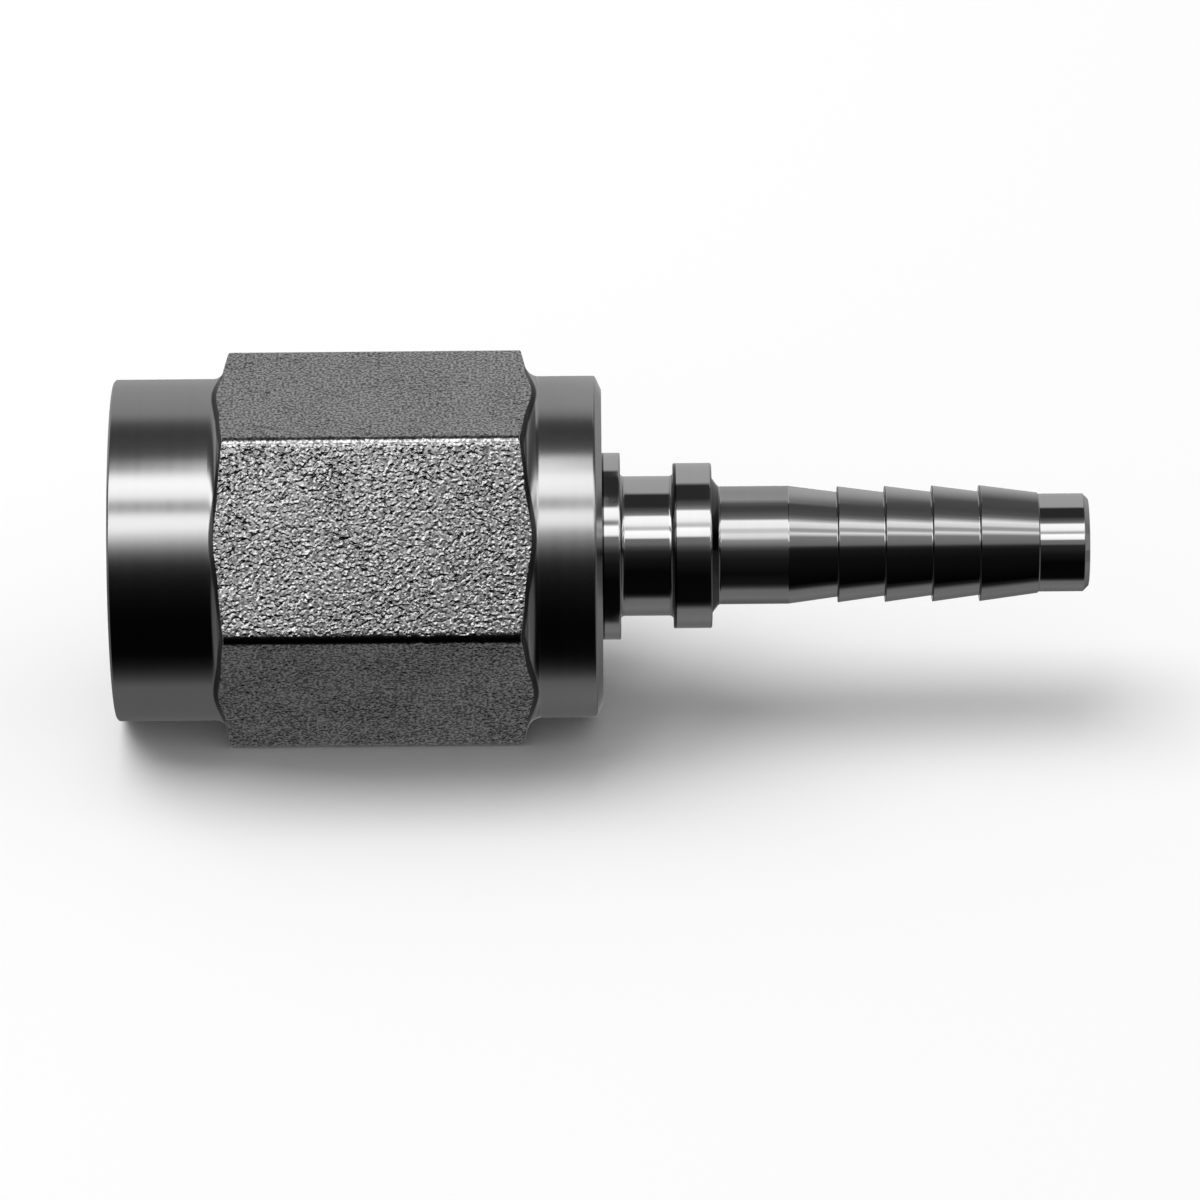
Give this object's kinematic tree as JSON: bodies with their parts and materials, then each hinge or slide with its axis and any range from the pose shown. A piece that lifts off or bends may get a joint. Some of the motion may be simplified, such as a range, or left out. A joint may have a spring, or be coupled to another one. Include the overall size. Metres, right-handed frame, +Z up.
{
  "type": "crimp hose fitting",
  "caption": "Steel crimp hose fitting: a barbed hose stem with a 60 degree cone nose, lock groove and collar, and a hexagon swivel nut with an inside pipe thread held on by a wire.",
  "frame": {"origin": "on the fitting's axis, in the gauge plane of the cone seat", "axes": "+X along the axis from the nut's open end to the hose tail's end, +Z up with one hexagon flat facing down"},
  "size_m": [0.0535, 0.0218, 0.019],
  "materials": {
    "nut_steel": "bar-stock hexagon with satin turned ends",
    "stem_steel": "bright turned",
    "wire_steel": "drawn wire"
  },
  "bodies": {
    "stem": {"hose_stem": "stem_steel"},
    "nut": {"swivel_nut": "nut_steel", "retaining_wire": "wire_steel"}
  },
  "joints": [
    {"name": "nut_swivel", "type": "hinge", "parent": "stem", "child": "nut", "pos_m": [0, 0, 0], "axis": [1, 0, 0], "continuous": true}
  ]
}
